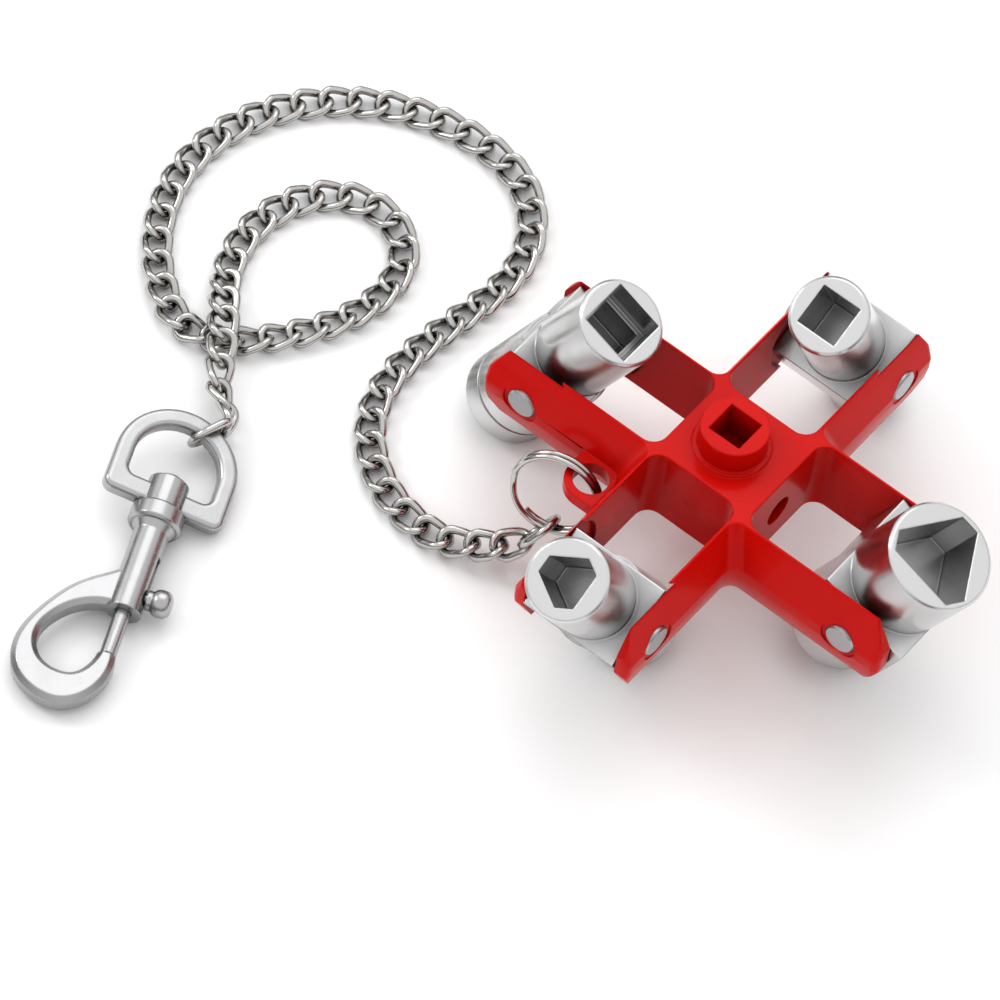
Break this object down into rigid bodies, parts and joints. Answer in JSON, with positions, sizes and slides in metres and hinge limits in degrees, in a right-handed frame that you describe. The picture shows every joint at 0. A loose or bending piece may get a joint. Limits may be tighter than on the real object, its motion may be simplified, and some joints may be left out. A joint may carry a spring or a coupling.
{
  "type": "universal utility key",
  "caption": "Cross-shaped utility key: swivelling double-ended socket keys in forked arms, a drive boss, and a chain with a bolt snap.",
  "frame": {"origin": "centre of the mouth of the square socket in the boss", "axes": "+Z out of the boss socket, +X along the arm with the plain side bore in its root (east), +Y along the north arm; the ring lug is between -X and -Y"},
  "size_m": [0.1797, 0.1588, 0.05],
  "materials": {
    "red_enamel": "gloss",
    "key_zinc": "satin",
    "pin_steel": "satin",
    "nickel_wire": "polished",
    "nickel_cast": "polished",
    "spring_steel": "satin"
  },
  "bodies": {
    "frame": {"cross_body": "red_enamel", "pin_east": "pin_steel", "pin_north": "pin_steel", "pin_west": "pin_steel", "pin_south": "pin_steel", "chain_end_ring": "nickel_wire", "chain_run_1": "nickel_wire", "chain_run_2": "nickel_wire", "chain_run_3": "nickel_wire", "chain_run_4": "nickel_wire", "chain_end_snap": "nickel_wire", "snap_eye": "nickel_cast"},
    "key_east": {"key_east": "key_zinc"},
    "key_north": {"key_north": "key_zinc"},
    "key_west": {"key_west": "key_zinc"},
    "key_south": {"key_south": "key_zinc"},
    "ring": {"split_ring": "nickel_wire"},
    "snap": {"snap_rivet": "nickel_cast", "snap_body": "nickel_cast", "bolt_spring": "spring_steel"},
    "bolt": {"snap_bolt": "nickel_cast", "snap_knob": "nickel_cast"}
  },
  "joints": [
    {"name": "key_east_swing", "type": "hinge", "parent": "frame", "child": "key_east", "pos_m": [0.036, 0, -0.0144], "axis": [0, 1, 0], "continuous": true},
    {"name": "key_north_swing", "type": "hinge", "parent": "frame", "child": "key_north", "pos_m": [0, 0.036, -0.0144], "axis": [1, 0, 0], "continuous": true},
    {"name": "key_west_swing", "type": "hinge", "parent": "frame", "child": "key_west", "pos_m": [-0.036, 0, -0.0144], "axis": [0, 1, 0], "continuous": true},
    {"name": "key_south_swing", "type": "hinge", "parent": "frame", "child": "key_south", "pos_m": [0, -0.036, -0.0144], "axis": [1, 0, 0], "continuous": true},
    {"name": "ring_turn", "type": "hinge", "parent": "frame", "child": "ring", "pos_m": [-0.02175, -0.01998, -0.02048], "axis": [0.2411, -0.9353, 0.2591], "continuous": true},
    {"name": "snap_swivel", "type": "hinge", "parent": "frame", "child": "snap", "pos_m": [-0.0764, -0.0626, -0.03457], "axis": [0.3935, -0.9182, -0.0454], "continuous": true},
    {"name": "bolt_slide", "type": "slide", "parent": "snap", "child": "bolt", "axis": [-0.3935, 0.9182, 0.0454], "range_m": [0, 0.007], "stiffness_N_per_m": 300, "springref_m": -0.008, "deforming": ["bolt_spring"]}
  ]
}
